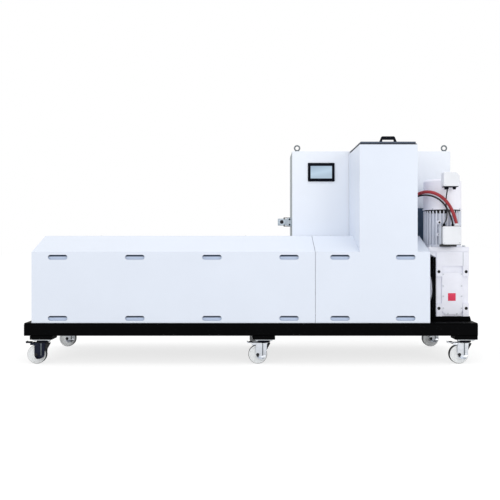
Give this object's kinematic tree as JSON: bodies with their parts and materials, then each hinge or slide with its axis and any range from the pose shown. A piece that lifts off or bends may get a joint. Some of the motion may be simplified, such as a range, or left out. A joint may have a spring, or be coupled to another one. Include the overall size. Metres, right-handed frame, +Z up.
{
  "type": "single screw extruder",
  "caption": "Single screw extruder with a white sheet hood, feed tower, upright drive motor, electrical cabinet and a black frame on castors.",
  "frame": {"origin": "on the floor at the centre of the base frame's footprint", "axes": "+X to the drive end, -Y to the operator's side, +Z up"},
  "size_m": [3, 0.8, 1.53],
  "materials": {
    "white_sheet": "satin powder coat",
    "liner_grey": "matt paint",
    "black_frame": "satin black paint",
    "slate_lid": "satin slate paint",
    "black_plastic": "moulded",
    "gasket_rubber": "matt",
    "zinc_steel": "zinc plated",
    "bare_steel": "turned",
    "wheel_white": "moulded polyamide",
    "drive_casting": "painted casting",
    "connector_grey": "powder coat",
    "screen_glass": "lit display",
    "conduit_red": "corrugated",
    "cable_black": "matt",
    "hopper_steel": "brushed stainless"
  },
  "bodies": {
    "machine": {"front_beam": "black_frame", "rear_beam": "black_frame", "cross_beams": "black_frame", "beam_end_caps": "black_plastic", "deck_plate": "black_frame", "castor_pads": "black_frame", "castor_top_plates": "zinc_steel", "gearbox_pedestal": "black_frame", "front_panel_left": "white_sheet", "front_panel_right": "white_sheet", "slope_panels": "white_sheet", "top_panels": "white_sheet", "rear_panel": "white_sheet", "end_panel_die": "white_sheet", "end_panel_drive": "white_sheet", "vent_liner": "liner_grey", "tower_shell": "white_sheet", "hopper_funnel": "hopper_steel", "lid_gasket": "gasket_rubber", "lid_hinge": "slate_lid", "cabinet_body": "white_sheet", "cabinet_doors": "white_sheet", "hmi_bezel": "black_plastic", "hmi_screen": "screen_glass", "lifting_eyes": "zinc_steel", "side_connector": "connector_grey", "gearbox_housing": "drive_casting", "gearbox_cover": "drive_casting", "motor_body": "drive_casting", "fan_cowl": "drive_casting", "motor_terminal_box": "drive_casting", "blower_box": "drive_casting", "barrel": "bare_steel", "screw": "bare_steel", "feed_block": "bare_steel", "barrel_supports": "black_frame", "motor_conduit": "conduit_red", "motor_cable": "cable_black", "blower_cable": "cable_black", "cable_glands": "black_plastic"},
    "lid": {"lid": "slate_lid", "lid_handle": "black_plastic"},
    "castor_1": {"castor_fork_1": "zinc_steel"},
    "wheel_1": {"castor_wheel_1": "wheel_white"},
    "pedal_1": {"brake_pedal_1": "zinc_steel"},
    "castor_2": {"castor_fork_2": "zinc_steel"},
    "wheel_2": {"castor_wheel_2": "wheel_white"},
    "pedal_2": {"brake_pedal_2": "zinc_steel"},
    "castor_3": {"castor_fork_3": "zinc_steel"},
    "wheel_3": {"castor_wheel_3": "wheel_white"},
    "pedal_3": {"brake_pedal_3": "zinc_steel"},
    "castor_4": {"castor_fork_4": "zinc_steel"},
    "wheel_4": {"castor_wheel_4": "wheel_white"},
    "pedal_4": {"brake_pedal_4": "zinc_steel"},
    "castor_5": {"castor_fork_5": "zinc_steel"},
    "wheel_5": {"castor_wheel_5": "wheel_white"},
    "pedal_5": {"brake_pedal_5": "zinc_steel"},
    "castor_6": {"castor_fork_6": "zinc_steel"},
    "wheel_6": {"castor_wheel_6": "wheel_white"},
    "pedal_6": {"brake_pedal_6": "zinc_steel"}
  },
  "joints": [
    {"name": "lid_hinge_swing", "type": "hinge", "parent": "machine", "child": "lid", "pos_m": [0.9105, 0, 1.4838], "axis": [-1, 0, 0], "range_deg": [0, 100]},
    {"name": "castor_1_swivel", "type": "hinge", "parent": "machine", "child": "castor_1", "pos_m": [-1.388, -0.345, 0.145], "axis": [0, 0, 1], "continuous": true},
    {"name": "castor_1_roll", "type": "hinge", "parent": "castor_1", "child": "wheel_1", "pos_m": [-1.428, -0.345, 0.0625], "axis": [0, 1, 0], "continuous": true},
    {"name": "castor_1_brake", "type": "hinge", "parent": "castor_1", "child": "pedal_1", "pos_m": [-1.458, -0.345, 0.135], "axis": [0, -1, 0], "range_deg": [0, 12]},
    {"name": "castor_2_swivel", "type": "hinge", "parent": "machine", "child": "castor_2", "pos_m": [0.085, -0.345, 0.145], "axis": [0, 0, 1], "continuous": true},
    {"name": "castor_2_roll", "type": "hinge", "parent": "castor_2", "child": "wheel_2", "pos_m": [0.045, -0.345, 0.0625], "axis": [0, 1, 0], "continuous": true},
    {"name": "castor_2_brake", "type": "hinge", "parent": "castor_2", "child": "pedal_2", "pos_m": [0.015, -0.345, 0.135], "axis": [0, -1, 0], "range_deg": [0, 12]},
    {"name": "castor_3_swivel", "type": "hinge", "parent": "machine", "child": "castor_3", "pos_m": [1.425, -0.345, 0.145], "axis": [0, 0, 1], "continuous": true},
    {"name": "castor_3_roll", "type": "hinge", "parent": "castor_3", "child": "wheel_3", "pos_m": [1.385, -0.345, 0.0625], "axis": [0, 1, 0], "continuous": true},
    {"name": "castor_3_brake", "type": "hinge", "parent": "castor_3", "child": "pedal_3", "pos_m": [1.355, -0.345, 0.135], "axis": [0, -1, 0], "range_deg": [0, 12]},
    {"name": "castor_4_swivel", "type": "hinge", "parent": "machine", "child": "castor_4", "pos_m": [-1.388, 0.345, 0.145], "axis": [0, 0, 1], "continuous": true},
    {"name": "castor_4_roll", "type": "hinge", "parent": "castor_4", "child": "wheel_4", "pos_m": [-1.428, 0.345, 0.0625], "axis": [0, 1, 0], "continuous": true},
    {"name": "castor_4_brake", "type": "hinge", "parent": "castor_4", "child": "pedal_4", "pos_m": [-1.458, 0.345, 0.135], "axis": [0, -1, 0], "range_deg": [0, 12]},
    {"name": "castor_5_swivel", "type": "hinge", "parent": "machine", "child": "castor_5", "pos_m": [0.085, 0.345, 0.145], "axis": [0, 0, 1], "continuous": true},
    {"name": "castor_5_roll", "type": "hinge", "parent": "castor_5", "child": "wheel_5", "pos_m": [0.045, 0.345, 0.0625], "axis": [0, 1, 0], "continuous": true},
    {"name": "castor_5_brake", "type": "hinge", "parent": "castor_5", "child": "pedal_5", "pos_m": [0.015, 0.345, 0.135], "axis": [0, -1, 0], "range_deg": [0, 12]},
    {"name": "castor_6_swivel", "type": "hinge", "parent": "machine", "child": "castor_6", "pos_m": [1.425, 0.345, 0.145], "axis": [0, 0, 1], "continuous": true},
    {"name": "castor_6_roll", "type": "hinge", "parent": "castor_6", "child": "wheel_6", "pos_m": [1.385, 0.345, 0.0625], "axis": [0, 1, 0], "continuous": true},
    {"name": "castor_6_brake", "type": "hinge", "parent": "castor_6", "child": "pedal_6", "pos_m": [1.355, 0.345, 0.135], "axis": [0, -1, 0], "range_deg": [0, 12]}
  ]
}
